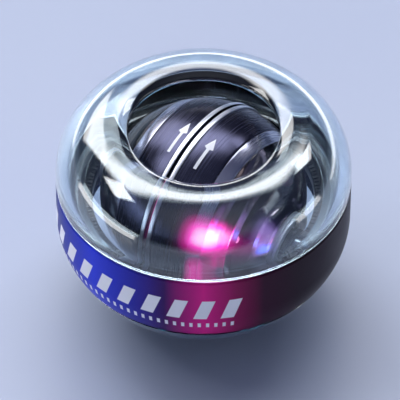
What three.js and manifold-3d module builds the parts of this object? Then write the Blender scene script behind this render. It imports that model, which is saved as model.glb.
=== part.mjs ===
// Gyroscopic wrist ball with a self-starting rotor, in millimetres, +Z up.
// The origin is the centre of the flat foot. Three bodies turn inside each other:
// the case, a ring that runs round the race of the case about Z, and a rotor that
// spins about X on an axle whose tips run in the same race.

import * as THREE from "three";
import { mergeVertices } from "three/addons/utils/BufferGeometryUtils.js";
import Module from "manifold-3d";

const wasm = await Module();
wasm.setup();

// Fits
const GAP = 0.3; // between pieces that seat on each other
const PLAY = 2 * GAP; // running clearance between bodies
const CUT = 1; // overrun of a cutting tool

// Case
const BALL_R = 34; // widest radius, at the grip band
const WALL = 2.8; // thickness of the clear shells
const FOOT_R = 12; // flat foot
const FLOOR_T = 2.6; // thickness over the foot
const BOWL_RISE = 1.5; // by which the large arc of the bowl is wider than the ball
const BLEND_R = 16; // arc from the bowl to the upright side
const SHOULDER_R = 14.3; // arc from the upright side to the crest
const LIP_TILT = 18.4 * THREE.MathUtils.DEG2RAD; // where the lip's dome leaves the shoulder arc
const LIP_TURN = 30.8 * THREE.MathUtils.DEG2RAD; // how far it goes on past its crest
const LIP_R = 8;
const LIP_EDGE_R = 0.6; // rounded edge of the mouth
const LIP_WALL_H = 0.9; // straight wall of the mouth under that edge
const BEAD_H = 0.6; // of the bead of the upper shell over the band
const BEAD_GROOVE_H = 0.4; // of the groove over the bead
const BEAD_GROOVE_DEPTH = 0.35;
const LIP_RISE = 0.4; // crest of the shoulder arc over the top of the rotor
const FLOOR_CLEAR = 1.3; // under the rotor

// Grip band
const BAND_BELOW = 10.7; // its lower edge, under the middle of the race
const BAND_ABOVE = 8.2;
const BAND_T = 1.3;
const BAND_BEVEL = 0.45;

// Race between the two shells
const LEDGE_W = 3.2;
const LEDGE_T = 2;
const LUG_COUNT = 6; // keys of the lower shell that lock the upper one against turning
const LUG_W = 5;
const LUG_H = 1.3;

// Ring
const RING_W = 4.7;
const RING_BEVEL = 0.4;
const RING_CLEAR = 1.7; // from the ring to the ridges of the rotor

// Axle
const AXLE_R = 1.5;
const TIP_INSET = 2; // from the tip to the back of the race
const TIP_BEVEL = 0.4;

// Forks that key the arbor and the magnet carrier to the ring
const SLEEVE_T = 1.4;
const FLANGE_RISE = 0.7;
const FLANGE_T = 1.2;
const PRONG_L = 1.5;
const PRONG_T = 1.8;

// Rotor
const RIDGE_H = 0.4; // of the two ridges beside the groove
const RIDGE_W = 1.1;
const GROOVE_DEPTH = 0.9;
const GROOVE_W = 0.8;
const WEB_T = 2.2; // of each half, at the middle
const CORE_T = 4.3; // rim of each half
const TRIM_T = 3.75;
const WINDOW_T = 2.5;
const CAP_T = 1.8;
const CAP_LIP = 0.4; // rim of the cap round the collar
const COLLAR_SINK = 1.5; // depth of the collar's seat in the cap
// Seams of the rotor along the axle, in its radius: half, trim ring, window ring, cap
const SEAM_SHARES = [0.394, 0.519, 0.703, 0.946];

// End collar and its disc
const COLLAR_T = 0.9; // of its floor
const COLLAR_RIM = 1.5; // width of the rim round the floor
const COLLAR_BAND = 0.65; // from the top of the rim down to the groove round it
const COLLAR_GROOVE = 0.3; // width and depth of that groove
const NOTCH_W = 3.2;
const NOTCH_H = 0.9;
const NOTCH_ANGLE = 22 * THREE.MathUtils.DEG2RAD; // round the axle, from straight up
const DISC_T = 0.9;
const DISC_BEVEL = 0.3;

// Starter
const BARREL_T = 1;
const HUB_RISE = 0.8; // of the arbor's hub over its sleeve
const HUB_CLEAR = 0.4; // from the hub to the floor of the barrel
const SPRING_T = 0.5;
const SPRING_TURNS = 7;

// Lights and their generator
const BOARD_T = 1.2;
const BOARD_CLEAR = 1.8; // round the sleeve
const BOARD_LIFT = 0.5; // over the seam under it
const LED_COUNT = 3;
const LED_R = 1.25;
const LED_H = 2.2;
const LED_INSET = 0.9; // from the window ring
const LED_TURN = 60 * THREE.MathUtils.DEG2RAD; // of the first light, from straight up
const CARRIER_CLEAR = 1.1; // over the web
const MAGNET_LIFT = 0.7; // from the end of the carrier
const MAGNET_H = 4;
const COIL_COUNT = 2;
const COIL_CLEAR = 1;
const COIL_FLANGE_T = 0.8;
const MAGNET_SHARE = 0.35; // radius of the magnet in that of the hollow half
const COIL_SHARE = 0.237; // radius of a coil in that of the hollow half
const COIL_POST_SHARE = 0.36; // radius of a coil's post in that of the coil

// Steps round a turn, and along arcs
const CASE_STEPS = 48;
const ROTOR_STEPS = 32;
const INNER_STEPS = 24;
const SMALL_STEPS = 8;
const COIL_STEPS = 16;
const BOWL_STEPS = 9;
const BLEND_STEPS = 2;
const SHOULDER_STEPS = 7;
const LIP_STEPS = 6;
const LIP_EDGE_STEPS = 2;
const SPRING_STEPS = 14;
const LED_DOME_STEPS = 3;
const ZONE_STEP = 6 * THREE.MathUtils.DEG2RAD;

// Places that follow from the sizes, from the case inwards
const RACE_R = BALL_R - WALL;
const RACE_H = 2 * AXLE_R + PLAY;
const LEDGE_R = RACE_R - LEDGE_W;
const RING_OUTER = RACE_R - GAP;
const RING_INNER = RING_OUTER - RING_W;
const RING_T = RACE_H - 2 * PLAY;
const RIDGE_R = RING_INNER - RING_CLEAR;
const ROTOR_R = RIDGE_R - RIDGE_H;
const GROOVE_R = ROTOR_R - GROOVE_DEPTH;
const TRACK_Z = FLOOR_T + FLOOR_CLEAR + RIDGE_R; // middle of the race, ring and axle
const BALL_H = TRACK_Z + RIDGE_R + LIP_RISE; // foot to the crest of the shoulder arc
const BAND_BOTTOM = TRACK_Z - BAND_BELOW;
const BAND_TOP = TRACK_Z + BAND_ABOVE;
const RECESS = BAND_T + GAP; // depth of the seat of the band
const BOWL_R = BALL_R + BOWL_RISE;
const BOWL_Z = across(BOWL_R, FOOT_R);
const BLEND_X = BALL_R - BLEND_R;
const BLEND_Z = BOWL_Z - across(BOWL_R - BLEND_R, BLEND_X);
const BLEND_ANGLE = Math.atan2(BLEND_Z - BOWL_Z, BLEND_X);
const SHOULDER_X = BALL_R - SHOULDER_R;
const SHOULDER_Z = BALL_H - SHOULDER_R;
const LIP_X = SHOULDER_X + (SHOULDER_R - LIP_R) * Math.sin(LIP_TILT);
const LIP_Z = SHOULDER_Z + (SHOULDER_R - LIP_R) * Math.cos(LIP_TILT);
const EDGE_X = LIP_X - (LIP_R - LIP_EDGE_R) * Math.sin(LIP_TURN);
const EDGE_Z = LIP_Z + (LIP_R - LIP_EDGE_R) * Math.cos(LIP_TURN);
const MOUTH_R = EDGE_X - LIP_EDGE_R;

const BORE_R = AXLE_R + GAP;
const TIP_END = RACE_R - TIP_INSET;
const SLEEVE_R = BORE_R + SLEEVE_T;
const FLANGE_R = SLEEVE_R + FLANGE_RISE;
const FLANGE_END = RING_INNER - PLAY;
const PRONG_END = RING_INNER + PRONG_L;

const [CORE_END, TRIM_END, WINDOW_END, CAP_END] = SEAM_SHARES.map((share) => share * ROTOR_R);
const RIDGE_END = GROOVE_W / 2 + RIDGE_W;
const POCKET_R = across(ROTOR_R, CORE_END) - CORE_T;
const TRIM_BORE_R = across(ROTOR_R, TRIM_END) - TRIM_T;
const WINDOW_BORE_R = across(ROTOR_R, WINDOW_END) - WINDOW_T;
const CAP_BORE_R = SLEEVE_R + PLAY;
const CAP_FACE = CAP_END - COLLAR_SINK;
const CAP_FLOOR = CAP_FACE - CAP_T;
const COLLAR_R = across(ROTOR_R, CAP_END) - CAP_LIP - GAP;
const COLLAR_FACE = CAP_FACE + GAP + COLLAR_T;
const COLLAR_TOP = across(RING_INNER - PLAY, COLLAR_R);
const DISC_R = COLLAR_R - COLLAR_RIM - GAP;

const BARREL_START = WEB_T + GAP;
const BARREL_R = POCKET_R - GAP;
const BARREL_H = CORE_END - WEB_T - 2 * GAP;
const HUB_R = SLEEVE_R + HUB_RISE;
const HUB_START = BARREL_START + BARREL_T + HUB_CLEAR;
const HUB_H = BARREL_H - BARREL_T - HUB_CLEAR - GAP;
const SPRING_W = HUB_H - HUB_CLEAR;

const BOARD_START = TRIM_END + BOARD_LIFT;
const LED_START = BOARD_START + BOARD_T + GAP;
const LED_PLACE_R = WINDOW_BORE_R - LED_INSET - LED_R;
const CARRIER_END = WEB_T + CARRIER_CLEAR;
const MAGNET_START = CARRIER_END + MAGNET_LIFT;
const MAGNET_R = POCKET_R * MAGNET_SHARE;
const COIL_R = POCKET_R * COIL_SHARE;
const COIL_POST_R = COIL_R * COIL_POST_SHARE;
const COIL_PLACE_R = MAGNET_R + PLAY + COIL_R;
const COIL_H = BARREL_H - COIL_CLEAR;

const UP = Math.PI / 2;
const TURN = 2 * Math.PI;

// The other side of a right triangle: how far a circle reaches beside its middle
function across(radius, away) {
  return Math.sqrt(Math.max(0, radius ** 2 - away ** 2));
}

// Profiles

function point(r, z) {
  return new THREE.Vector2(r, z);
}

function arc(x, y, radius, from, to, steps) {
  return Array.from({ length: steps + 1 }, (_, i) => {
    const angle = from + ((to - from) * i) / steps;
    return point(x + radius * Math.cos(angle), y + radius * Math.sin(angle));
  });
}

// Radius of the case's outline at a height, moved inwards by an inset
function outlineRadius(z, inset) {
  const bowl = BOWL_R - inset;
  if (z < BOWL_Z + bowl * Math.sin(BLEND_ANGLE)) return across(bowl, BOWL_Z - z);
  if (z < BLEND_Z) return BLEND_X + across(BLEND_R - inset, BLEND_Z - z);
  if (z < SHOULDER_Z) return BALL_R - inset;
  return SHOULDER_X + across(SHOULDER_R - inset, z - SHOULDER_Z);
}

// The case's outline from one height up to another, moved inwards by an inset
function outline(from, to, inset) {
  const whole = [
    ...arc(0, BOWL_Z, BOWL_R - inset, -UP, BLEND_ANGLE, BOWL_STEPS),
    ...arc(BLEND_X, BLEND_Z, BLEND_R - inset, BLEND_ANGLE, 0, BLEND_STEPS).slice(1),
    ...arc(SHOULDER_X, SHOULDER_Z, SHOULDER_R - inset, 0, UP, SHOULDER_STEPS),
  ];
  return [
    point(outlineRadius(from, inset), from),
    ...whole.filter((p) => p.y > from + GAP && p.y < to - GAP),
    point(outlineRadius(to, inset), to),
  ];
}

// The rounded body of the rotor from one place on its axle out to another
function zone(from, to, radius) {
  const start = Math.asin(from / radius);
  const end = Math.asin(to / radius);
  const steps = Math.max(1, Math.round((end - start) / ZONE_STEP));
  return arc(0, 0, radius, start, end, steps);
}

// Solids

// A profile turned about its own Y axis; it lies on the axis or closes on itself
function revolve(profile, steps) {
  const loop = profile[0].x > 0 ? [...profile, profile[0]] : profile;
  return new THREE.LatheGeometry(loop, steps);
}

function turnedAboutZ(profile, steps = CASE_STEPS) {
  return revolve(profile, steps).rotateX(UP);
}

function turnedAboutX(profile, steps = ROTOR_STEPS) {
  return revolve(profile, steps).rotateZ(-UP);
}

function block(xFrom, xTo, yFrom, yTo, height) {
  const box = new THREE.BoxGeometry(xTo - xFrom, yTo - yFrom, height);
  return box.translate((xFrom + xTo) / 2, (yFrom + yTo) / 2, 0);
}

function solid(geometry) {
  const bare = geometry.clone().deleteAttribute("normal").deleteAttribute("uv");
  const merged = mergeVertices(bare, CUT / 1000);
  return new wasm.Manifold(
    new wasm.Mesh({
      numProp: 3,
      vertProperties: merged.attributes.position.array,
      triVerts: new Uint32Array(merged.index.array),
    }),
  );
}

function surface(body) {
  const { numProp, numVert, vertProperties, triVerts } = body.getMesh();
  const places = new Float32Array(numVert * 3);
  for (let i = 0; i < numVert; i++) {
    places.set(vertProperties.subarray(i * numProp, i * numProp + 3), i * 3);
  }
  const geometry = new THREE.BufferGeometry();
  geometry.setAttribute("position", new THREE.BufferAttribute(places, 3));
  geometry.setIndex(new THREE.BufferAttribute(triVerts, 1));
  geometry.computeVertexNormals();
  return geometry;
}

// Case

// Blocks spaced round the joint between the shells, from one radius and height to another
function jointBlocks(rFrom, rTo, zFrom, zTo, width) {
  const upright = block(rFrom, rTo, -width / 2, width / 2, zTo - zFrom);
  upright.translate(0, 0, (zFrom + zTo) / 2);
  return Array.from({ length: LUG_COUNT }, (_, i) =>
    solid(upright.clone().rotateZ((TURN * i) / LUG_COUNT)),
  );
}

function lowerShell() {
  const top = TRACK_Z - GAP / 2;
  const raceFloor = TRACK_Z - RACE_H / 2;
  const shell = turnedAboutZ([
    point(0, 0),
    ...outline(0, BAND_BOTTOM - GAP, 0),
    ...outline(BAND_BOTTOM - GAP, top, RECESS),
    point(RACE_R, top),
    point(RACE_R, raceFloor),
    point(LEDGE_R, raceFloor),
    point(LEDGE_R, raceFloor - LEDGE_T),
    ...outline(FLOOR_T, raceFloor - LEDGE_T, WALL).reverse(),
    point(0, FLOOR_T),
  ]);
  const lugs = jointBlocks(RACE_R + GAP, BALL_R - RECESS - GAP, raceFloor, top + LUG_H, LUG_W);
  return surface(lugs.reduce((joined, lug) => joined.add(lug), solid(shell)));
}

function upperShell() {
  const bottom = TRACK_Z + GAP / 2;
  const raceRoof = TRACK_Z + RACE_H / 2;
  const bead = BAND_TOP + GAP + BEAD_H;
  const body = bead + BEAD_GROOVE_H;
  const crest = SHOULDER_Z + SHOULDER_R * Math.cos(LIP_TILT);
  const under = EDGE_Z - LIP_WALL_H;
  const shell = turnedAboutZ([
    ...outline(bottom, BAND_TOP + GAP, RECESS),
    point(outlineRadius(BAND_TOP + GAP, 0), BAND_TOP + GAP),
    point(outlineRadius(bead, 0), bead),
    point(outlineRadius(bead, BEAD_GROOVE_DEPTH), bead),
    point(outlineRadius(body, BEAD_GROOVE_DEPTH), body),
    ...outline(body, crest, 0),
    ...arc(LIP_X, LIP_Z, LIP_R, UP - LIP_TILT, UP + LIP_TURN, LIP_STEPS).slice(1),
    ...arc(EDGE_X, EDGE_Z, LIP_EDGE_R, UP + LIP_TURN, Math.PI, LIP_EDGE_STEPS).slice(1),
    point(MOUTH_R, under),
    ...outline(raceRoof + LEDGE_T, under, WALL).reverse(),
    point(LEDGE_R, raceRoof + LEDGE_T),
    point(LEDGE_R, raceRoof),
    point(RACE_R, raceRoof),
    point(RACE_R, bottom),
  ]);
  const top = bottom + LUG_H + GAP;
  const width = LUG_W + 2 * GAP;
  const notches = jointBlocks(RACE_R - GAP, BALL_R - RECESS + GAP, TRACK_Z - CUT, top, width);
  return surface(notches.reduce((left, notch) => left.subtract(notch), solid(shell)));
}

function gripBand() {
  return turnedAboutZ([
    point(outlineRadius(BAND_BOTTOM, BAND_T), BAND_BOTTOM),
    point(outlineRadius(BAND_BOTTOM, BAND_BEVEL), BAND_BOTTOM),
    ...outline(BAND_BOTTOM + BAND_BEVEL, BAND_TOP - BAND_BEVEL, 0),
    point(outlineRadius(BAND_TOP, BAND_BEVEL), BAND_TOP),
    ...outline(BAND_BOTTOM + BAND_BEVEL, BAND_TOP, BAND_T).reverse(),
  ]);
}

// Ring and what it carries, about the middle of the rotor

function precessionRing() {
  const half = RING_T / 2;
  const body = solid(
    turnedAboutZ([
      point(RING_INNER, -half),
      point(RING_OUTER - RING_BEVEL, -half),
      point(RING_OUTER, RING_BEVEL - half),
      point(RING_OUTER, half - RING_BEVEL),
      point(RING_OUTER - RING_BEVEL, half),
      point(RING_INNER, half),
    ]),
  );
  const deep = RING_T + CUT;
  const tip = BORE_R;
  const fork = FLANGE_R + GAP;
  const slots = [0, Math.PI].flatMap((angle) => [
    solid(block(RING_INNER - CUT, TIP_END + GAP, -tip, tip, deep).rotateZ(angle)),
    solid(block(RING_INNER - CUT, PRONG_END + GAP, -fork, fork, deep).rotateZ(angle)),
  ]);
  return surface(slots.reduce((left, slot) => left.subtract(slot), body));
}

// A sleeve round the axle with a flange and two prongs that enter the ring's slot
function fork(sleeve) {
  const body = solid(
    turnedAboutX(
      [
        ...sleeve,
        point(SLEEVE_R, FLANGE_END - FLANGE_T),
        point(FLANGE_R, FLANGE_END - FLANGE_T),
        point(FLANGE_R, FLANGE_END),
        point(BORE_R, FLANGE_END),
      ],
      INNER_STEPS,
    ),
  );
  const inside = FLANGE_R - PRONG_T;
  const root = FLANGE_END - FLANGE_T / 2;
  const prongs = [
    solid(block(root, PRONG_END, inside, FLANGE_R, RING_T)),
    solid(block(root, PRONG_END, -FLANGE_R, -inside, RING_T)),
  ];
  return surface(prongs.reduce((joined, prong) => joined.add(prong), body));
}

function springArbor() {
  return fork([
    point(BORE_R, HUB_START),
    point(HUB_R, HUB_START),
    point(HUB_R, HUB_START + HUB_H),
    point(SLEEVE_R, HUB_START + HUB_H),
  ]);
}

function magnetCarrier() {
  return fork([point(BORE_R, CARRIER_END), point(SLEEVE_R, CARRIER_END)]);
}

function tube(inner, outer, from, to, steps = INNER_STEPS) {
  return turnedAboutX(
    [point(inner, from), point(outer, from), point(outer, to), point(inner, to)],
    steps,
  );
}

// Rotor, about its own middle; the right side is drawn and the left one turned half round

function axle() {
  return turnedAboutX(
    [
      point(0, -TIP_END),
      point(AXLE_R - TIP_BEVEL, -TIP_END),
      point(AXLE_R, TIP_BEVEL - TIP_END),
      point(AXLE_R, TIP_END - TIP_BEVEL),
      point(AXLE_R - TIP_BEVEL, TIP_END),
      point(0, TIP_END),
    ],
    SMALL_STEPS,
  );
}

function rotorHalf() {
  const start = GAP / 2;
  const end = CORE_END - GAP / 2;
  return turnedAboutX([
    point(BORE_R, start),
    point(GROOVE_R, start),
    point(GROOVE_R, GROOVE_W / 2),
    ...zone(GROOVE_W / 2, RIDGE_END, RIDGE_R),
    ...zone(RIDGE_END, end, ROTOR_R),
    point(POCKET_R, end),
    point(POCKET_R, WEB_T),
    point(BORE_R, WEB_T),
  ]);
}

// A ring whose rim carries on the rounded body of the rotor
function bodyRing(from, to, bore) {
  return turnedAboutX([
    point(bore, from),
    ...zone(from, to, ROTOR_R),
    point(bore, to),
  ]);
}

function sideCap() {
  const start = WINDOW_END + GAP / 2;
  const seat = COLLAR_R + GAP;
  return turnedAboutX([
    ...zone(start, CAP_END, ROTOR_R),
    point(seat, CAP_END),
    point(seat, CAP_FACE),
    point(CAP_BORE_R, CAP_FACE),
    point(CAP_BORE_R, CAP_FLOOR),
    ...zone(start, CAP_FLOOR, ROTOR_R - CAP_T).reverse(),
  ]);
}

function endCollar() {
  const inside = COLLAR_R - COLLAR_RIM;
  const band = COLLAR_TOP - COLLAR_BAND;
  const body = solid(
    turnedAboutX([
      point(CAP_BORE_R, CAP_FACE + GAP),
      point(COLLAR_R, CAP_FACE + GAP),
      point(COLLAR_R, band - COLLAR_GROOVE),
      point(COLLAR_R - COLLAR_GROOVE, band - COLLAR_GROOVE),
      point(COLLAR_R - COLLAR_GROOVE, band),
      point(COLLAR_R, band),
      point(COLLAR_R, COLLAR_TOP),
      point(inside, COLLAR_TOP),
      point(inside, COLLAR_FACE),
      point(CAP_BORE_R, COLLAR_FACE),
    ]),
  );
  const notch = new THREE.BoxGeometry(2 * NOTCH_H, NOTCH_W, COLLAR_R);
  notch.translate(COLLAR_TOP, 0, inside + COLLAR_R / 2 - GAP);
  return surface(body.subtract(solid(notch.rotateX(-NOTCH_ANGLE))));
}

function endDisc() {
  const start = COLLAR_FACE + GAP;
  return turnedAboutX([
    point(CAP_BORE_R, start),
    point(DISC_R, start),
    point(DISC_R, start + DISC_T - DISC_BEVEL),
    point(DISC_R - DISC_BEVEL, start + DISC_T),
    point(CAP_BORE_R, start + DISC_T),
  ]);
}

function springBarrel() {
  const end = BARREL_START + BARREL_H;
  const floor = BARREL_START + BARREL_T;
  const inside = BARREL_R - BARREL_T;
  const profile = [
    point(BORE_R, BARREL_START),
    point(BARREL_R, BARREL_START),
    point(BARREL_R, end),
    point(inside, end),
    point(inside, floor),
    point(BORE_R, floor),
  ];
  return turnedAboutX(profile, INNER_STEPS);
}

// The flat spiral spring, one strip from the hub out to the wall of the barrel
function mainspring() {
  const inner = HUB_R + GAP + SPRING_T / 2;
  const outer = BARREL_R - BARREL_T - GAP - SPRING_T / 2;
  const count = SPRING_TURNS * SPRING_STEPS;
  const edge = (side) =>
    Array.from({ length: count + 1 }, (_, i) => {
      const radius = inner + ((outer - inner) * i) / count + (side * SPRING_T) / 2;
      const angle = (TURN * i) / SPRING_STEPS;
      return point(radius * Math.cos(angle), radius * Math.sin(angle));
    });
  const outerEdge = edge(1);
  const innerEdge = edge(-1);
  console.log("mainspring, least gap to itself:", leastGap(outerEdge, innerEdge).toFixed(2), "mm");
  const strip = new THREE.Shape([...outerEdge, ...innerEdge.reverse()]);
  const geometry = new THREE.ExtrudeGeometry(strip, { depth: SPRING_W, bevelEnabled: false });
  return geometry.rotateY(UP).translate(HUB_START, 0, 0);
}

// The least distance from a loop's outer edge to the inner edge of the loops outside it
function leastGap(outerEdge, innerEdge) {
  let least = Infinity;
  outerEdge.forEach((from, i) => {
    for (let j = i + SPRING_STEPS / 2; j < innerEdge.length; j++) {
      least = Math.min(least, from.distanceTo(innerEdge[j]));
    }
  });
  return least;
}

function barrelLid() {
  const start = BARREL_START + BARREL_H + GAP;
  return tube(HUB_R + PLAY, TRIM_BORE_R - GAP, start, start + BARREL_T);
}

function ledBoard() {
  const outer = WINDOW_BORE_R - GAP;
  return tube(SLEEVE_R + BOARD_CLEAR, outer, BOARD_START, BOARD_START + BOARD_T);
}

function led(index) {
  const dome = LED_START + LED_H - LED_R;
  const body = turnedAboutX(
    [
      point(0, LED_START),
      point(LED_R, LED_START),
      ...arc(0, dome, LED_R, 0, UP, LED_DOME_STEPS).slice(0, -1),
      point(0, LED_START + LED_H),
    ],
    SMALL_STEPS,
  );
  return body.translate(0, 0, LED_PLACE_R).rotateX(LED_TURN + (TURN * index) / LED_COUNT);
}

function coilCore(index) {
  const start = BARREL_START;
  const body = turnedAboutX(
    [
      point(0, start),
      point(COIL_R, start),
      point(COIL_R, start + COIL_FLANGE_T),
      point(COIL_POST_R, start + COIL_FLANGE_T),
      point(COIL_POST_R, start + COIL_H - COIL_FLANGE_T),
      point(COIL_R, start + COIL_H - COIL_FLANGE_T),
      point(COIL_R, start + COIL_H),
      point(0, start + COIL_H),
    ],
    COIL_STEPS,
  );
  return body.translate(0, 0, COIL_PLACE_R).rotateX((TURN * index) / COIL_COUNT);
}

function coilWinding(index) {
  const start = BARREL_START + COIL_FLANGE_T + GAP;
  const end = BARREL_START + COIL_H - COIL_FLANGE_T - GAP;
  const body = tube(COIL_POST_R + GAP, COIL_R - GAP, start, end, COIL_STEPS);
  return body.translate(0, 0, COIL_PLACE_R).rotateX((TURN * index) / COIL_COUNT);
}

// Scene graph

function finish(color, roughness, metalness, more = {}) {
  return () => new THREE.MeshStandardMaterial({ color, roughness, metalness, ...more });
}

const clear = finish(0xdfeef6, 0.05, 0, { transparent: true, opacity: 0.25 });
const smoked = finish(0x2b2a33, 0.1, 0, { transparent: true, opacity: 0.5 });
const rubber = finish(0x33207a, 0.35, 0);
const chrome = finish(0xd9dce2, 0.06, 1);
const satin = finish(0xa9adb5, 0.35, 1);
const darkSatin = finish(0x33343a, 0.4, 0.8);
const steel = finish(0x9b9fa6, 0.25, 1);
const blackNylon = finish(0x1d1e22, 0.5, 0);
const springSteel = finish(0x4d5a78, 0.3, 1);
const board = finish(0x14532d, 0.5, 0);
const lens = finish(0xff9ee0, 0.1, 0);
const ferrite = finish(0x3a3a3d, 0.6, 0.2);
const copper = finish(0xb56a35, 0.35, 0.9);

function mesh(name, geometry, material) {
  const made = new THREE.Mesh(geometry, material());
  made.name = name;
  return made;
}

const root = new THREE.Group();
root.add(mesh("lower_shell", lowerShell(), clear));
root.add(mesh("upper_shell", upperShell(), clear));
root.add(mesh("grip_band", gripBand(), rubber));

const ring = new THREE.Group();
ring.position.z = TRACK_Z;
root.add(ring);
ring.add(mesh("precession_ring", precessionRing(), blackNylon));
ring.add(mesh("spring_arbor", springArbor(), blackNylon));
const opposite = new THREE.Group();
opposite.rotation.z = Math.PI;
ring.add(opposite);
opposite.add(mesh("magnet_carrier", magnetCarrier(), blackNylon));
const magnet = tube(SLEEVE_R + GAP, MAGNET_R, MAGNET_START, MAGNET_START + MAGNET_H);
opposite.add(mesh("ring_magnet", magnet, ferrite));

const rotor = new THREE.Group();
ring.add(rotor);
rotor.add(mesh("axle", axle(), steel));
const seam = GAP / 2;
for (const [side, angle] of [
  ["right", 0],
  ["left", Math.PI],
]) {
  const half = new THREE.Group();
  half.rotation.z = angle;
  rotor.add(half);
  const trim = bodyRing(CORE_END + seam, TRIM_END - seam, TRIM_BORE_R);
  const window = bodyRing(TRIM_END + seam, WINDOW_END - seam, WINDOW_BORE_R);
  half.add(mesh("rotor_half_" + side, rotorHalf(), chrome));
  half.add(mesh("trim_ring_" + side, trim, satin));
  half.add(mesh("window_ring_" + side, window, smoked));
  half.add(mesh("side_cap_" + side, sideCap(), smoked));
  half.add(mesh("end_collar_" + side, endCollar(), chrome));
  half.add(mesh("end_disc_" + side, endDisc(), darkSatin));
  half.add(mesh("led_board_" + side, ledBoard(), board));
  for (let i = 0; i < LED_COUNT; i++) {
    half.add(mesh("led_" + side + "_" + (i + 1), led(i), lens));
  }
  if (side === "right") {
    half.add(mesh("spring_barrel", springBarrel(), satin));
    half.add(mesh("mainspring", mainspring(), springSteel));
    half.add(mesh("barrel_lid", barrelLid(), satin));
  } else {
    for (let i = 0; i < COIL_COUNT; i++) {
      half.add(mesh("coil_core_" + (i + 1), coilCore(i), blackNylon));
      half.add(mesh("coil_winding_" + (i + 1), coilWinding(i), copper));
    }
  }
}

export default root;
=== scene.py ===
"""A gyroscopic wrist ball: a clear ball with a soft grip band, and a chrome rotor on an
axle that a ring carries round a race inside the ball."""

from math import asin, atan2, ceil, cos, degrees, pi, radians, sin, sqrt, tan

import bmesh
import bpy
from mathutils import Matrix, Vector


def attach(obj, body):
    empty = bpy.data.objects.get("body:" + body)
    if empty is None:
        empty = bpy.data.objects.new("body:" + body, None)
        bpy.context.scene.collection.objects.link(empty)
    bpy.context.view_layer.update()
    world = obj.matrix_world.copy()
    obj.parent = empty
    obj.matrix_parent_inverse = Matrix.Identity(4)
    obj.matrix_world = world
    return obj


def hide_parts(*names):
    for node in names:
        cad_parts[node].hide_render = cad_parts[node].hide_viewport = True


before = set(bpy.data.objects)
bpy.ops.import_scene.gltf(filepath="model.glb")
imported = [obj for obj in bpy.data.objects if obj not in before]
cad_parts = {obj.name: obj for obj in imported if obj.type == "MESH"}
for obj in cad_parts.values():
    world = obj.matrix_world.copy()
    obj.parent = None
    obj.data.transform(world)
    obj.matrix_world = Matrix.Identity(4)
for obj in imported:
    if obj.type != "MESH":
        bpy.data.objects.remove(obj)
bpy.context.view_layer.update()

MM = 0.001

# Sizes of the case, in millimetres
BALL_R = 34.0
BALL_H = 53.3
WALL = 2.8
FOOT_R = 12.0
FLOOR_T = 2.6
BOWL_R = 35.5
BLEND_R = 16.0
SHOULDER_R = 14.3
LIP_TILT = radians(18.4)  # where the lip's dome leaves the shoulder arc
LIP_TURN = radians(30.8)  # how far it goes on past its crest
LIP_R = 8.0
LIP_EDGE_R = 0.6
LIP_WALL_H = 0.9
BEAD_H = 0.6  # bead of the upper shell over the band, and the groove over it
BEAD_GROOVE_H = 0.4
BEAD_GROOVE_DEPTH = 0.35
GAP = 0.3  # between pieces that seat on each other
PLAY = 0.6  # running clearance between bodies
CUT = 1  # overrun of a cutting block

# Race, ring and axle
TRACK_Z = 28.4
RACE_H = 3.6
RACE_R = BALL_R - WALL
LEDGE_R = 28.0
LEDGE_T = 2.0
LUG_COUNT = 6
LUG_W = 5.0
LUG_H = 1.3
RING_OUTER = RACE_R - GAP
RING_INNER = 26.2
RING_T = 2.4
AXLE_R = 1.5
BORE_R = AXLE_R + GAP
TIP_END = 29.2
SLEEVE_R = 3.2
HUB_R = 4.0  # of the arbor, inside the spring
HUB_L = 5.0
HUB_CLEAR = 0.4  # from the hub to the floor of the barrel
CARRIER_START = 3.3
FLANGE_R = 3.9
FLANGE_T = 1.2
FLANGE_END = RING_INNER - PLAY
PRONG_END = 27.7
PRONG_T = 1.8
RIB_W = 0.5
RIB_H = 0.3
RIB_SINK = 0.2  # how deep it stands in the ring
RIB_START = radians(10)  # from the middle of a slot
RIB_STEP = radians(2.5)

# Grip band
BAND_BOTTOM = TRACK_Z - 10.7
BAND_TOP = TRACK_Z + 8.2
BAND_T = 1.3
BAND_BEVEL = 0.45
PRINT_AND_PAINTED_LIGHT_BEARING = radians(34.5)  # of the middle of the band's print, from its front to its right, and of the middle of its painted coloured light
PRINT_ROWS = [  # first and last place along the row, its foot and top, pitch, bar, slant
    (-52.0, 7.0, 25.1, 30.9, 6.2, 3.1, 0.35),
    (-47.0, 7.2, 21.9, 23.5, 1.9, 0.8, 0.0),
]
BAND_PAINTED_LIGHT = [  # the band's own dark colour with painted coloured light over it, blue on the left and magenta in the middle, then painted shade towards the right end; from the left edge in the photograph's view to the right one
    (0.0, "#17237e"),
    (0.13, "#263be0"),
    (0.26, "#2b2da8"),
    (0.37, "#3d1762"),
    (0.5, "#ea2391"),
    (0.61, "#921757"),
    (0.7, "#3a0b2a"),
    (0.82, "#22081a"),
    (1.0, "#180818"),
]
RECESS = BAND_T + GAP

# Rotor, by distance along its axle from its middle
ROTOR_R = 24.1
RIDGE_R = 24.5
GROOVE_R = 23.2
GROOVE_W = 0.8
RIDGE_END = 1.5
WEB_T = 2.2
BARREL_T = 1.0  # floor of the spring's barrel
HUB_START = WEB_T + GAP + BARREL_T + HUB_CLEAR
HUB_END = HUB_START + HUB_L
CORE_END, TRIM_END, WINDOW_END, CAP_END = (s * ROTOR_R for s in (0.394, 0.519, 0.703, 0.946))
CORE_T, TRIM_T, WINDOW_T, CAP_T = 4.3, 3.75, 2.5, 1.8
CAP_LIP = 0.4
COLLAR_SINK = 1.5
COLLAR_T = 0.9
COLLAR_RIM = 1.5
COLLAR_BAND = 0.65
COLLAR_GROOVE = 0.3
NOTCH_W = 3.2
NOTCH_H = 0.9
NOTCH_ANGLE = radians(22)
DISC_T = 0.9
SEAM = 0.05  # half the joint that shows between the rotor's rings

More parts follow.
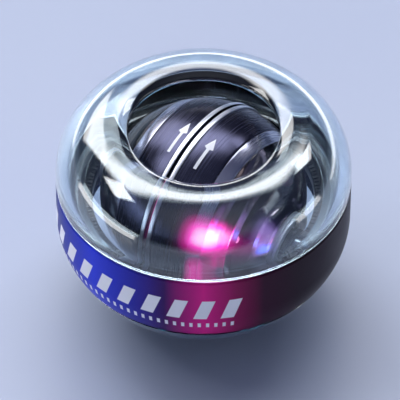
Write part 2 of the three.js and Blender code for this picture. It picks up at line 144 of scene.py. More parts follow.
# Arrows: place along the axle and turn of each foot, then their sizes
ARROW_LEFT = (-3.3, radians(23))
ARROW_RIGHT = (4.4, radians(25))
ARROW_L = radians(22)
ARROW_HEAD_SHARE = 0.36  # of the length
ARROW_SHAFT = 0.36  # half the width of the shaft, then of the head
ARROW_HEAD = 1.2
ARROW_LEVELS = (0.01, 0.03)  # of its back and its face over the rotor
ARROW_ROWS = 24

# Radii of the rounded edges
SHELL_EDGE = 0.35
BAND_EDGE = 0.25
RING_EDGE = 0.4
FORK_EDGE = 0.2
HALF_EDGE = 0.18
ROTOR_EDGE = 0.15
DISC_EDGE = 0.3
TIP_EDGE = 0.5

# Lights
LED_COUNT = 3
LED_TURN = radians(60)  # the first light, round the axle from straight up towards the front
LIT_LIGHT = "led_right_1"  # the lights take turns, and this one faces the photograph's view
GLOW = 1.3  # strength of the light painted in the rings in front of it
JOINT_GLOW = 0.6  # of the line of light painted in the joint of the rotor's halves
JOINT_TURN = radians(24)  # reach of that line
# Painted pools of the lit light: middle and reach along the axle, then round it, and strength
PAINTED_PINK_POOLS = [
    (12.6, 9.0, radians(60), radians(22), 1.0),
    (11.6, 3.6, radians(86), radians(24), 0.62),
    (19.0, 7.0, radians(62), radians(32), 0.3),
]
# colours of the painted pink light, from none to the brightest
PINK = [
    (0.0, "#000000"),
    (0.1, "#1e1014"),
    (0.25, "#35072a"),
    (0.55, "#a8156f"),
    (0.8, "#ff48bd"),
    (1.0, "#ffc8f0"),
]
# Painted light that strays to the right collar, on the smoked cap beside it
PAINTED_LILAC_POOLS = [
    (21.6, 4.2, radians(42), radians(38), 0.6),
    (22.3, 2.6, radians(64), radians(22), 1.0),
]
# colours of the painted lilac light
LILAC = [
    (0.0, "#000000"),
    (0.3, "#161028"),
    (0.6, "#6a5688"),
    (0.8, "#5a62d8"),
    (1.0, "#7f97ff"),
]

# The photograph's view
VIEW_AZIMUTH = radians(34.5)
VIEW_ELEVATION = radians(45.5)
VIEW_DISTANCE = 0.9
VIEW_TARGET_Z = 26.5 * MM
FOCAL_PIXELS = 3885.8
IMAGE_PIXELS = 400
BALL_PIXEL = (203.5, 207.5)  # where the target lies in the image
SENSOR = 36.0
FAR_CLIP = 10  # in metres

# Studio
FLOOR_R = 3000
FLOOR_STEPS = 64
NEVER_ZERO = 0.001
HORIZON = 5  # elevation of the soft box on the horizon, in degrees
ROOM = [(0.08, "#b4bfd8"), (0.16, "#363d56"), (0.5, "#434b66"), (1.0, "#565e7c")]
SOFT_BOXES = [  # bearing, elevation, half width, half height, soft edge (in degrees), strength
    (-8, 63, 28, 13, 6, 5.8),
    (10, HORIZON, 60, 4, 3, 3.0),
    (-33, 33, 13, 14, 2, 4.6),
    (-80, 50, 9, 7, 1, 6.0),
    (46, 44, 6, 6, 1, 6.0),
    (-103, 6, 28, 4, 1.5, 5.0),
    (98, 8, 12, 4, 1.5, 4.0),
    (178, 62, 26, 26, 20, 0.2),
]

UPRIGHT = (0.0, 0.0, 1.0)
ALONG_AXLE = (1.0, 0.0, 0.0)
COPY_INPUTS = {
    "Geometry": "Geometry",
    "Count": "Int",
    "Step": "Float",
    "Turn": "Float",
    "Axis": "Vector",
    "Pivot": "Vector",
    "Material": "Material",
}

# Fineness of the meshes
CASE_STEPS = 192
ROTOR_STEPS = 128
SMALL_STEPS = 48
BOWL_STEPS, BLEND_STEPS, SHOULDER_STEPS = 40, 10, 32
LIP_STEPS, LIP_EDGE_STEPS = 24, 8
ROUND_STEPS = 3  # of a rounded edge
ZONE_STEP = 1.5  # degrees between the points of the rotor's rounded body
NEAR_END = 0.15  # closer to an end than this, the outline has no other point
ROUNDED = radians(25)  # the least turn of a corner that gets rounded
EDGE_SHARE = 0.45  # the most of an edge that a rounded corner takes up
SHARP = radians(35)  # the least turn of an edge that shows sharp
ON_AXIS = 1e-6  # a point this near the axis is on it
WELD = 1e-4  # points this near each other become one
THIN = 1e-5  # an edge or face thinner than this is dissolved


def linear(code):
    """An sRGB hex colour as a linear one with alpha 1."""
    values = [int(code[i : i + 2], 16) / 255 for i in (1, 3, 5)]
    return [v / 12.92 if v <= 0.04045 else ((v + 0.055) / 1.055) ** 2.4 for v in values] + [1]


def node(tree, kind, links=None, **settings):
    """Adds a node. Settings set its properties, and links its inputs, from sockets or values."""
    made = tree.nodes.new(kind)
    for key, value in settings.items():
        setattr(made, key, value)
    for key, value in (links or {}).items():
        socket = made.inputs[key]
        if isinstance(value, bpy.types.NodeSocket):
            tree.links.new(value, socket)
        else:
            socket.default_value = value
    return made


# Profiles


def across(radius, away):
    """How far a circle reaches beside its middle."""
    return sqrt(max(0.0, radius**2 - away**2))


BOWL_Z = across(BOWL_R, FOOT_R)
BLEND_X = BALL_R - BLEND_R
BLEND_Z = BOWL_Z - across(BOWL_R - BLEND_R, BLEND_X)
BLEND_ANGLE = atan2(BLEND_Z - BOWL_Z, BLEND_X)
SHOULDER_X = BALL_R - SHOULDER_R
SHOULDER_Z = BALL_H - SHOULDER_R
LIP_X = SHOULDER_X + (SHOULDER_R - LIP_R) * sin(LIP_TILT)
LIP_Z = SHOULDER_Z + (SHOULDER_R - LIP_R) * cos(LIP_TILT)
EDGE_X = LIP_X - (LIP_R - LIP_EDGE_R) * sin(LIP_TURN)
EDGE_Z = LIP_Z + (LIP_R - LIP_EDGE_R) * cos(LIP_TURN)


def arc(x, y, radius, start, end, steps):
    """Points on an arc about a middle, from one angle to another."""
    angles = (start + (end - start) * i / steps for i in range(steps + 1))
    return [(x + radius * cos(a), y + radius * sin(a)) for a in angles]


def outline_radius(z, inset):
    """Radius of the case's outline at a height, moved inwards by an inset."""
    bowl = BOWL_R - inset
    if z < BOWL_Z + bowl * sin(BLEND_ANGLE):
        return across(bowl, BOWL_Z - z)
    if z < BLEND_Z:
        return BLEND_X + across(BLEND_R - inset, BLEND_Z - z)
    if z < SHOULDER_Z:
        return BALL_R - inset
    return SHOULDER_X + across(SHOULDER_R - inset, z - SHOULDER_Z)


def outline(start, end, inset):
    """The case's outline from one height up to another, moved inwards by an inset."""
    whole = arc(0, BOWL_Z, BOWL_R - inset, -pi / 2, BLEND_ANGLE, BOWL_STEPS)
    whole += arc(BLEND_X, BLEND_Z, BLEND_R - inset, BLEND_ANGLE, 0, BLEND_STEPS)[1:]
    whole += arc(SHOULDER_X, SHOULDER_Z, SHOULDER_R - inset, 0, pi / 2, SHOULDER_STEPS)
    between = [p for p in whole if start + NEAR_END < p[1] < end - NEAR_END]
    return [(outline_radius(start, inset), start), *between, (outline_radius(end, inset), end)]


def zone(start, end, radius):
    """The rounded body of the rotor from one place on its axle out to another."""
    first, last = asin(start / radius), asin(end / radius)
    return arc(0, 0, radius, first, last, max(2, ceil(degrees(last - first) / ZONE_STEP)))


def eased(profile, radius, closed):
    """The profile with each sharp corner rounded to a small radius."""
    points = [Vector(p) for p in profile]
    count = len(points)
    made = []
    for i, here in enumerate(points):
        if not closed and i in (0, count - 1):
            made.append(here)
            continue
        before, after = points[i - 1] - here, points[(i + 1) % count] - here
        turn = pi - before.angle(after)
        if turn < ROUNDED:
            made.append(here)
            continue
        full = radius * sin(turn / 2) / cos(turn / 2)
        reach = min(full, before.length * EDGE_SHARE, after.length * EDGE_SHARE)
        a, b = here + before.normalized() * reach, here + after.normalized() * reach
        for k in range(ROUND_STEPS + 1):
            t = k / ROUND_STEPS
            made.append(a * (1 - t) ** 2 + here * 2 * t * (1 - t) + b * t**2)
    return [tuple(p) for p in made]


# Meshes


def smoothed(mesh):
    """Smooth faces, with the sharp corners kept."""
    for face in mesh.faces:
        face.smooth = True
    for edge in mesh.edges:
        edge.smooth = len(edge.link_faces) == 2 and edge.calc_face_angle(0) < SHARP


def finished(name, mesh):
    """An object from a bmesh that was made in millimetres."""
    bmesh.ops.remove_doubles(mesh, verts=mesh.verts, dist=WELD)
    bmesh.ops.recalc_face_normals(mesh, faces=mesh.faces)
    smoothed(mesh)
    mesh.transform(Matrix.Scale(MM, 4))
    data = bpy.data.meshes.new(name)
    mesh.to_mesh(data)
    mesh.free()
    piece = bpy.data.objects.new(name, data)
    bpy.context.scene.collection.objects.link(piece)
    return piece


def about_z():
    """Places a point of a profile round the case's axis."""
    return lambda r, h, a: (r * cos(a), r * sin(a), h)


def about_x(side=1):
    """Along the axle, out to the right for side 1 and to the left for side -1."""
    return lambda r, h, a: (side * h, side * r * cos(a), TRACK_Z + r * sin(a))


def turned(name, profile, edge, place, steps, closed=True):
    """A closed solid of revolution with rounded edges. The profile closes on itself, or else
    both its ends are on the axis."""
    profile = eased(profile, edge, closed)
    mesh = bmesh.new()
    rings = []
    for r, h in profile:
        if r < ON_AXIS:
            rings.append([mesh.verts.new(place(0, h, 0))] * steps)
        else:
            rings.append([mesh.verts.new(place(r, h, 2 * pi * i / steps)) for i in range(steps)])
    pairs = list(zip(rings, rings[1:]))
    if profile[0][0] > ON_AXIS:
        pairs.append((rings[-1], rings[0]))
    for low, high in pairs:
        for i in range(steps):
            corners = [low[i], low[(i + 1) % steps], high[(i + 1) % steps], high[i]]
            unique = list(dict.fromkeys(corners))
            if len(unique) > 2:
                mesh.faces.new(unique)
    return finished(name, mesh)


def block(name, low, high, turn=None):
    """A box between two corners, in millimetres, turned about the origin if asked."""
    mesh = bmesh.new()
    size = Vector(high) - Vector(low)
    middle = (Vector(high) + Vector(low)) / 2
    bmesh.ops.create_cube(mesh, size=1)
    mesh.transform(Matrix.Translation(middle) @ Matrix.Diagonal((*size, 1)))
    if turn:
        mesh.transform(turn)
    return finished(name, mesh)


def applied(piece):
    """The piece with what its modifiers make as its plain mesh."""
    bpy.context.view_layer.update()
    evaluated = piece.evaluated_get(bpy.context.evaluated_depsgraph_get())
    made = bpy.data.meshes.new_from_object(evaluated)
    piece.modifiers.clear()
    piece.data = made
    return piece


def copies_tree():
    """Copies a piece round an axis through a pivot, by a step between each and the next."""
    tree = bpy.data.node_groups.new("copies_round_an_axis", "GeometryNodeTree")
    for key, kind in COPY_INPUTS.items():
        tree.interface.new_socket(key, in_out="INPUT", socket_type="NodeSocket" + kind)
    tree.interface.new_socket("Geometry", in_out="OUTPUT", socket_type="NodeSocketGeometry")
    sizes = node(tree, "NodeGroupInput").outputs
    one = node(tree, "GeometryNodeGeometryToInstance", {"Geometry": sizes["Geometry"]})
    many = node(
        tree,
        "GeometryNodeDuplicateElements",
        {"Geometry": one.outputs[0], "Amount": sizes["Count"]},
        domain="INSTANCE",
    )
    turn = node(
        tree,
        "ShaderNodeMath",
        {0: many.outputs["Duplicate Index"], 1: sizes["Step"], 2: sizes["Turn"]},
        operation="MULTIPLY_ADD",
    )
    about = node(
        tree,
        "ShaderNodeVectorMath",
        {0: sizes["Axis"], "Scale": turn.outputs[0]},
        operation="SCALE",
    )
    placed_round = node(
        tree,
        "GeometryNodeRotateInstances",
        {
            "Instances": many.outputs["Geometry"],
            "Rotation": about.outputs["Vector"],
            "Pivot Point": sizes["Pivot"],
            "Local Space": False,
        },
    )
    real = node(tree, "GeometryNodeRealizeInstances", {"Geometry": placed_round.outputs[0]})
    dressed = node(
        tree,
        "GeometryNodeSetMaterial",
        {"Geometry": real.outputs[0], "Material": sizes["Material"]},
    )
    node(tree, "NodeGroupOutput", {"Geometry": dressed.outputs[0]})
    return tree


def repeated(piece, count, axis, material, step=None, turn=0.0):
    """The piece as copies of itself round the axle or the case's axis, all round it unless
    a step is given."""
    tree = bpy.data.node_groups.get("copies_round_an_axis") or copies_tree()
    change = piece.modifiers.new("copies", "NODES")
    change.node_group = tree
    values = {
        "Count": count,
        "Step": 2 * pi / count if step is None else step,
        "Turn": float(turn),
        "Axis": axis,
        "Pivot": (0.0, 0.0, TRACK_Z * MM),
        "Material": material,
    }
    for socket in tree.interface.items_tree:
        if socket.in_out == "INPUT" and socket.name in values:
            change[socket.identifier] = values[socket.name]
    return applied(piece)


def joined(piece, others):
    """One piece out of several closed ones that touch."""
    mesh = bmesh.new()
    for part in (piece, *others):
        mesh.from_mesh(part.data)
    mesh.to_mesh(piece.data)
    mesh.free()
    for part in others:
        bpy.data.objects.remove(part)
    return piece


def combined(piece, tools, operation):
    """Joins or cuts a piece with tools, which are used up."""
    for tool in tools:
        change = piece.modifiers.new("combine", "BOOLEAN")
        change.operation = operation
        change.solver = "EXACT"
        change.object = tool
    applied(piece)
    for tool in tools:
        bpy.data.objects.remove(tool)
    mesh = bmesh.new()
    mesh.from_mesh(piece.data)
    smoothed(mesh)
    mesh.to_mesh(piece.data)
    mesh.free()
    return piece


def placed(piece, body, material, nodes=()):
    """Gives a piece its material and body, and hides the nodes that it stands for."""
    piece.data.materials.clear()
    piece.data.materials.append(material)
    piece.data.polygons.foreach_set("material_index", [0] * len(piece.data.polygons))
    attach(piece, body)
    if nodes:
        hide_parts(*nodes)
    return piece


# Materials


def surface(name):
    """A new material with its tree, its shader and its Object coordinates."""
    material = bpy.data.materials.new(name)
    material.use_nodes = True
    tree = material.node_tree
    shader = tree.nodes["Principled BSDF"]
    place = node(tree, "ShaderNodeTexCoord").outputs["Object"]
    return material, tree, shader, place


def ramp(tree, value, stops):
    """A colour ramp through hex colours at places from 0 to 1."""
    made = node(tree, "ShaderNodeValToRGB", {"Fac": value})
    points = made.color_ramp.elements
    while len(points) < len(stops):
        points.new(0.5)
    for point, (place, code) in zip(points, stops):
        point.position = place
        point.color = linear(code)
    return made.outputs["Color"]


def clear_polycarbonate():
    """Injection-moulded polycarbonate with a hard coat over it. It bends what lies behind it
    and is pale blue where the eye looks along the wall. The coat gives it its bright
    reflections, which handling dulls in patches and long flow ripples soften."""
    material, tree, shader, place = surface("clear_polycarbonate")
    shader.inputs["Base Color"].default_value = linear("#f4f9ff")
    shader.inputs["Transmission Weight"].default_value = 1
    shader.inputs["IOR"].default_value = 1.585
    shader.inputs["Coat Weight"].default_value = 1
    shader.inputs["Coat Roughness"].default_value = 0.02
    tint = {"Color": linear("#93dcea"), "Density": 50}
    edge_tint = node(tree, "ShaderNodeVolumeAbsorption", tint)
    tree.links.new(edge_tint.outputs["Volume"], tree.nodes["Material Output"].inputs["Volume"])
    wear = node(tree, "ShaderNodeTexNoise", {"Vector": place, "Scale": 1 / (8 * MM), "Detail": 4})
    rough = node(
        tree,
        "ShaderNodeMapRange",
        {
            "Value": wear.outputs["Fac"],
            "From Min": 0.45,
            "From Max": 0.8,
            "To Min": 0.008,
            "To Max": 0.05,
        },
    )
    tree.links.new(rough.outputs["Result"], shader.inputs["Roughness"])
    flow = node(tree, "ShaderNodeTexNoise", {"Vector": place, "Scale": 1 / (22 * MM), "Detail": 1})
    bump = node(
        tree,
        "ShaderNodeBump",
        {"Height": flow.outputs["Fac"], "Strength": 0.03, "Distance": 1 * MM},
    )
    tree.links.new(bump.outputs["Normal"], shader.inputs["Normal"])
    return material


def smoked_polycarbonate():
    """Smoked polycarbonate, moulded and polished: dark and glossy, and only what is lit
    behind it shows."""
    material, tree, shader, place = surface("smoked_polycarbonate")
    shader.inputs["Transmission Weight"].default_value = 1
    shader.inputs["IOR"].default_value = 1.585
    shade = node(tree, "ShaderNodeTexNoise", {"Vector": place, "Scale": 1 / (16 * MM), "Detail": 2})
    colour = ramp(tree, shade.outputs["Fac"], [(0.3, "#a08f98"), (0.7, "#b5a5ad")])
    tree.links.new(colour, shader.inputs["Base Color"])
    rough = node(
        tree, "ShaderNodeMapRange", {"Value": shade.outputs["Fac"], "To Min": 0.02, "To Max": 0.06}
    )
    tree.links.new(rough.outputs["Result"], shader.inputs["Roughness"])
    return material


def metal(name, light, dark, rough, line_pitch, line_depth):
    """A metal turned on a lathe, plated or bare: fine lines round the axle, coarser than the
    real ones so that they show, draw each highlight out across them, and smears dull it.
    The pitch and the depth of the lines are in millimetres."""
    material, tree, shader, place = surface(name)
    shader.inputs["Metallic"].default_value = 1
    parts = node(tree, "ShaderNodeSeparateXYZ", {"Vector": place})
    along = node(
        tree,
        "ShaderNodeMath",
        {0: parts.outputs["X"], 1: 1 / (line_pitch * MM)},
        operation="MULTIPLY",
    )
    lines = node(
        tree,
        "ShaderNodeTexNoise",
        {"W": along.outputs[0], "Scale": 1, "Detail": 2},
        noise_dimensions="1D",
    )
    smear = node(tree, "ShaderNodeTexNoise", {"Vector": place, "Scale": 1 / (11 * MM), "Detail": 5})
    colour = ramp(tree, smear.outputs["Fac"], [(0.35, dark), (0.6, light)])
    tree.links.new(colour, shader.inputs["Base Color"])
    mixed = node(
        tree,
        "ShaderNodeMath",
        {0: lines.outputs["Fac"], 1: smear.outputs["Fac"]},
        operation="MULTIPLY",
    )
    level = node(
        tree,
        "ShaderNodeMapRange",
        {
            "Value": mixed.outputs[0],
            "From Min": 0.1,
            "From Max": 0.45,
            "To Min": rough * 0.6,
            "To Max": rough * 1.4,
        },
    )
    tree.links.new(level.outputs["Result"], shader.inputs["Roughness"])
    bump = node(
        tree,
        "ShaderNodeBump",
        {"Height": lines.outputs["Fac"], "Strength": 1, "Distance": line_depth * MM},
    )
    tree.links.new(bump.outputs["Normal"], shader.inputs["Normal"])
    return material


def with_painted_light_pools(material, pools, colours, joint=False):
    """Paints the pools of light that the lit light would throw on the rings in front of it into
    their emission, and if asked the thin line of light that gets out through the joint of the
    rotor's halves. The eye takes them for a light behind a window."""
    tree = material.node_tree
    shader = tree.nodes["Principled BSDF"]
    place = node(tree, "ShaderNodeTexCoord").outputs["Object"]
    parts = node(tree, "ShaderNodeSeparateXYZ", {"Vector": place})
    height = node(
        tree, "ShaderNodeMath", {0: parts.outputs["Z"], 1: TRACK_Z * MM}, operation="SUBTRACT"
    )
    front = node(tree, "ShaderNodeMath", {0: parts.outputs["Y"], 1: -1}, operation="MULTIPLY")
    angle = node(
        tree, "ShaderNodeMath", {0: front.outputs[0], 1: height.outputs[0]}, operation="ARCTAN2"
    )
    pool = 0.0
    for middle, reach, turn, spread, light in pools:
        spans = (
            (parts.outputs["X"], middle * MM, reach * MM, light),
            (angle.outputs[0], turn, spread, 1.0),
        )
        falls = []
        for value, centre, half, top in spans:
            off = node(tree, "ShaderNodeMath", {0: value, 1: centre}, operation="SUBTRACT")
            away = node(tree, "ShaderNodeMath", {0: off.outputs[0]}, operation="ABSOLUTE")
            fall = node(
                tree,
                "ShaderNodeMapRange",
                {"Value": away.outputs[0], "From Min": half, "From Max": 0.0, "To Max": top},
                interpolation_type="SMOOTHERSTEP",
            )
            falls.append(fall.outputs["Result"])
        one = node(tree, "ShaderNodeMath", dict(enumerate(falls)), operation="MULTIPLY")
        most = node(tree, "ShaderNodeMath", {0: pool, 1: one.outputs[0]}, operation="MAXIMUM")
        pool = most.outputs[0]
    if joint:
        turn = node(
            tree, "ShaderNodeMath", {0: angle.outputs[0], 1: LED_TURN}, operation="SUBTRACT"
        )
        spread = node(tree, "ShaderNodeMath", {0: turn.outputs[0]}, operation="ABSOLUTE")
        beside = node(tree, "ShaderNodeMath", {0: parts.outputs["X"]}, operation="ABSOLUTE")
        line = JOINT_GLOW
        for value, reach in ((spread, JOINT_TURN), (beside, GROOVE_W / 2 * MM)):
            fall = node(
                tree,
                "ShaderNodeMapRange",
                {
                    "Value": value.outputs[0],
                    "From Min": reach,
                    "From Max": reach / 2,
                    "To Max": line,
                },
            )
            line = fall.outputs["Result"]
        pool = node(tree, "ShaderNodeMath", {0: pool, 1: line}, operation="MAXIMUM").outputs[0]
    glow = ramp(tree, pool, colours)
    socket = shader.inputs["Emission Color"]
    if socket.is_linked:
        old = socket.links[0].from_socket
        both = node(tree, "ShaderNodeVectorMath", {0: old, 1: glow}, operation="ADD")
        glow = both.outputs["Vector"]
    tree.links.new(glow, socket)
    shader.inputs["Emission Strength"].default_value = GLOW
    return material


def with_bright_ridges(material):
    """The two ridges round the waist are polished bare after plating, and so stand out as
    two pale lines."""
    tree = material.node_tree
    shader = tree.nodes["Principled BSDF"]
    place = node(tree, "ShaderNodeTexCoord").outputs["Object"]
    parts = node(tree, "ShaderNodeSeparateXYZ", {"Vector": place})
    along = node(tree, "ShaderNodeMath", {0: parts.outputs["X"]}, operation="ABSOLUTE")
    soft, groove = 0.05, GROOVE_W / 2
    limits = []
    for start, end in ((RIDGE_END + soft, RIDGE_END - soft), (groove, groove + soft)):
        limit = node(
            tree,
            "ShaderNodeMapRange",
            {"Value": along.outputs[0], "From Min": start * MM, "From Max": end * MM},
        )
        limits.append(limit.outputs["Result"])
    bright = node(tree, "ShaderNodeMath", dict(enumerate(limits)), operation="MULTIPLY")
    rough = 0.34
    for key, value in (("Base Color", linear("#dfe2ee")), ("Roughness", (rough, rough, rough, 1))):
        old = shader.inputs[key].links[0].from_socket
        mixed = node(
            tree,
            "ShaderNodeMix",
            {"Factor": bright.outputs[0], "A": old, "B": value},
            data_type="RGBA",
        )
        tree.links.new(mixed.outputs["Result"], shader.inputs[key])
    return material


def printed_rows(tree, bearing, height):
    """White ink in two rows: slanted bars, and small ticks under them. 1 where there is ink."""
    soft = 0.06  # half the soft edge of the ink
    length = node(tree, "ShaderNodeMath", {0: bearing, 1: BALL_R}, operation="MULTIPLY").outputs[0]
    level = node(tree, "ShaderNodeMath", {0: height, 1: 1 / MM}, operation="MULTIPLY").outputs[0]
    total = 0.0
    for first, last, foot, top, pitch, bar, slant in PRINT_ROWS:
        rise = node(tree, "ShaderNodeMath", {0: level, 1: foot}, operation="SUBTRACT")
        lean = node(
            tree,
            "ShaderNodeMath",
            {0: rise.outputs[0], 1: -slant, 2: length},
            operation="MULTIPLY_ADD",
        )
        along = lean.outputs[0]
        phase = node(tree, "ShaderNodeMath", {0: along, 1: first}, operation="SUBTRACT").outputs[0]
        phase = node(tree, "ShaderNodeMath", {0: phase, 1: pitch}, operation="FLOORED_MODULO")
        spans = [(along, first, last), (level, foot, top), (phase.outputs[0], soft, bar)]
        inside = 1.0
        for value, low, high in spans:
            for edge, way in ((low, soft), (high, -soft)):
                step = node(
                    tree,
                    "ShaderNodeMapRange",
                    {"Value": value, "From Min": edge - way, "From Max": edge + way},
                )
                both = node(
                    tree,
                    "ShaderNodeMath",
                    {0: inside, 1: step.outputs["Result"]},
                    operation="MULTIPLY",
                )
                inside = both.outputs[0]
        total = node(tree, "ShaderNodeMath", {0: total, 1: inside}, operation="MAXIMUM").outputs[0]
    return total


def glossy_grip():
    """Thermoplastic rubber under a printed film, with a wide soft sheen from the film. Across it
    runs painted coloured light over the rubber's dark colour, from left to right as the camera
    sees it: blue, over purple into magenta, and then painted shade. The rubber's grain under it
    is drawn coarser than it is, so that it shows."""
    material, tree, shader, place = surface("film_faced_rubber")
    parts = node(tree, "ShaderNodeSeparateXYZ", {"Vector": place})
    right = Vector((cos(PRINT_AND_PAINTED_LIGHT_BEARING), sin(PRINT_AND_PAINTED_LIGHT_BEARING), 0))
    front = Vector((sin(PRINT_AND_PAINTED_LIGHT_BEARING), -cos(PRINT_AND_PAINTED_LIGHT_BEARING), 0))
    across_it = node(tree, "ShaderNodeVectorMath", {0: place, 1: right}, operation="DOT_PRODUCT")
    out_of_it = node(tree, "ShaderNodeVectorMath", {0: place, 1: front}, operation="DOT_PRODUCT")
    cross = node(
        tree,
        "ShaderNodeMapRange",
        {"Value": across_it.outputs["Value"], "From Min": -BALL_R * MM, "From Max": BALL_R * MM},
    )
    # painted coloured light and shade across the band, from left to right as the camera sees it
    colour = ramp(tree, cross.outputs["Result"], BAND_PAINTED_LIGHT)
    grain = node(
        tree, "ShaderNodeTexNoise", {"Vector": place, "Scale": 1 / (1.1 * MM), "Detail": 2}
    )
    tint = node(
        tree,
        "ShaderNodeMix",
        {"Factor": 0.004, "A": colour, "B": grain.outputs["Color"]},
        data_type="RGBA",
    )
    bearing = node(
        tree,
        "ShaderNodeMath",
        {0: across_it.outputs["Value"], 1: out_of_it.outputs["Value"]},
        operation="ARCTAN2",
    )
    ink = printed_rows(tree, bearing.outputs[0], parts.outputs["Z"])
    printed = node(
        tree,
        "ShaderNodeMix",
        {"Factor": ink, "A": tint.outputs["Result"], "B": linear("#f4f4fa")},
        data_type="RGBA",
    )
    tree.links.new(printed.outputs["Result"], shader.inputs["Base Color"])
    smear = node(tree, "ShaderNodeTexNoise", {"Vector": place, "Scale": 1 / (14 * MM), "Detail": 3})
    rough = node(
        tree, "ShaderNodeMapRange", {"Value": smear.outputs["Fac"], "To Min": 0.3, "To Max": 0.5}
    )
    tree.links.new(rough.outputs["Result"], shader.inputs["Roughness"])
    bump = node(
        tree,
        "ShaderNodeBump",
        {"Height": grain.outputs["Fac"], "Strength": 0.15, "Distance": 0.05 * MM},
    )
    tree.links.new(bump.outputs["Normal"], shader.inputs["Normal"])
    shader.inputs["Specular IOR Level"].default_value = 0.14
    return material


def plastic(name, light, dark, rough, grain_mm):
    """A plastic moulded in a spark-eroded tool: its grain, in millimetres, breaks the
    highlight up, and the shade varies a little. Ink, board, rubber and ferrite are made with
    it too."""
    material, tree, shader, place = surface(name)
    grain = node(
        tree, "ShaderNodeTexNoise", {"Vector": place, "Scale": 1 / (grain_mm * MM), "Detail": 3}
    )
    shade = node(tree, "ShaderNodeTexNoise", {"Vector": place, "Scale": 1 / (12 * MM), "Detail": 2})
    colour = ramp(tree, shade.outputs["Fac"], [(0.3, dark), (0.7, light)])
    tree.links.new(colour, shader.inputs["Base Color"])
    level = node(
        tree,
        "ShaderNodeMapRange",
        {"Value": grain.outputs["Fac"], "To Min": rough * 0.8, "To Max": rough * 1.2},
    )
    tree.links.new(level.outputs["Result"], shader.inputs["Roughness"])
    bump = node(
        tree,
        "ShaderNodeBump",
        {"Height": grain.outputs["Fac"], "Strength": 0.3, "Distance": 0.03 * MM},
    )
    tree.links.new(bump.outputs["Normal"], shader.inputs["Normal"])
    return material


def lens(name, dark, light, strength):
    """Milky epoxy, cast: cloudy inside, so that a lit one glows unevenly."""
    material, tree, shader, place = surface(name)
    cloud = node(tree, "ShaderNodeTexNoise", {"Vector": place, "Scale": 1 / (3 * MM)})
    colour = ramp(tree, cloud.outputs["Fac"], [(0.35, dark), (0.65, light)])
    tree.links.new(colour, shader.inputs["Base Color"])
    tree.links.new(colour, shader.inputs["Emission Color"])
    shader.inputs["Emission Strength"].default_value = strength
    shader.inputs["Roughness"].default_value = 0.15
    return material


CLEAR = clear_polycarbonate()
# the smoked rings and caps get painted pools of pink light
WINDOW = with_painted_light_pools(smoked_polycarbonate(), PAINTED_PINK_POOLS, PINK)
# and painted lilac light on the cap beside the right collar
WINDOW = with_painted_light_pools(WINDOW, PAINTED_LILAC_POOLS, LILAC)
GRIP = glossy_grip()

# Metals: light and dark shade, roughness, pitch and depth of the lines
# Blasting makes the chrome a wide, soft, pale shine
SATIN_CHROME = metal("blasted_chromed_zinc", "#f4f5fa", "#e6e8f0", 0.75, 0.4, 0.0003)
# Black plating on a turned face: dark, with long pale streaks where a lamp is mirrored
CORE_CHROME = metal("black_chrome", "#44455a", "#37384b", 0.28, 0.4, 0.00012)
# painted pools of pink light, and a painted line of light in the joint
CORE_CHROME = with_painted_light_pools(CORE_CHROME, PAINTED_PINK_POOLS, PINK, joint=True)
CORE_CHROME = with_bright_ridges(CORE_CHROME)
# Pale grey, with a silky sheen
SATIN = metal("turned_satin_steel", "#b6b8cc", "#9b9db2", 0.24, 0.25, 0.0005)
# painted pools of pink light
SATIN = with_painted_light_pools(SATIN, PAINTED_PINK_POOLS, PINK)
# Nearly black, with a dull satin shine
DARK_SATIN = metal("black_nickel", "#3c3d49", "#2b2c36", 0.32, 0.25, 0.004)
# Plain grey and bright
STEEL = metal("ground_steel", "#a7abb2", "#8f939b", 0.2, 0.3, 0.003)
# Slate blue from tempering
SPRING = metal("blued_spring_steel", "#5b6a8f", "#3d4868", 0.25, 0.3, 0.003)
# Orange brown and shiny under clear enamel
COPPER = metal("enamelled_copper", "#c27a45", "#a35f31", 0.3, 0.25, 0.02)

# Plastics and the like: light and dark shade, roughness, grain
# Satin black
BLACK = plastic("black_nylon", "#23242b", "#17181d", 0.38, 0.25)
# Dark green solder mask, faintly grainy
BOARD = plastic("glass_epoxy_board", "#12402a", "#0c2b1d", 0.4, 0.2)
# Dull grey, like fired clay
FERRITE = plastic("sintered_ferrite", "#3b3b3f", "#2c2c30", 0.6, 0.15)
# Dull black
RUBBER = plastic("black_rubber", "#1b1a1f", "#121116", 0.6, 0.2)
# Opaque silver white
SILVER_INK = plastic("silver_pad_ink", "#eceef6", "#dcdfea", 0.35, 0.2)

# Lenses: dark and light shade, strength of their light
LENS = lens("milky_epoxy", "#d9d9e2", "#f0f0f6", 0)
LIT_LENS = lens("lit_epoxy", "#ff6fd0", "#ffc4ee", 3)


# Case


def joint_lugs(r_start, r_end, z_start, z_end, width):
    """Blocks all round the joint of the two shells: its lugs, or what cuts their notches."""
    low, high = (r_start, -width / 2, z_start), (r_end, width / 2, z_end)
    return repeated(block("lug", low, high), LUG_COUNT, UPRIGHT, CLEAR)


def lower_shell():
    """A bowl on a flat foot, with the lower ledge of the race, and lugs up into the joint."""
    top = TRACK_Z - GAP / 2
    race_floor = TRACK_Z - RACE_H / 2
    profile = [(0, 0), *outline(0, BAND_BOTTOM - GAP, 0)]
    profile += outline(BAND_BOTTOM - GAP, top, RECESS)
    profile += [(RACE_R, top), (RACE_R, race_floor), (LEDGE_R, race_floor)]
    profile += [(LEDGE_R, race_floor - LEDGE_T)]
    profile += outline(FLOOR_T, race_floor - LEDGE_T, WALL)[::-1] + [(0, FLOOR_T)]
    shell = turned("lower_shell_clear", profile, SHELL_EDGE, about_z(), CASE_STEPS, closed=False)
    lugs = joint_lugs(RACE_R + GAP, BALL_R - RECESS - GAP, race_floor, top + LUG_H, LUG_W)
    combined(shell, [lugs], "UNION")
    placed(shell, "case", CLEAR, ["lower_shell"])


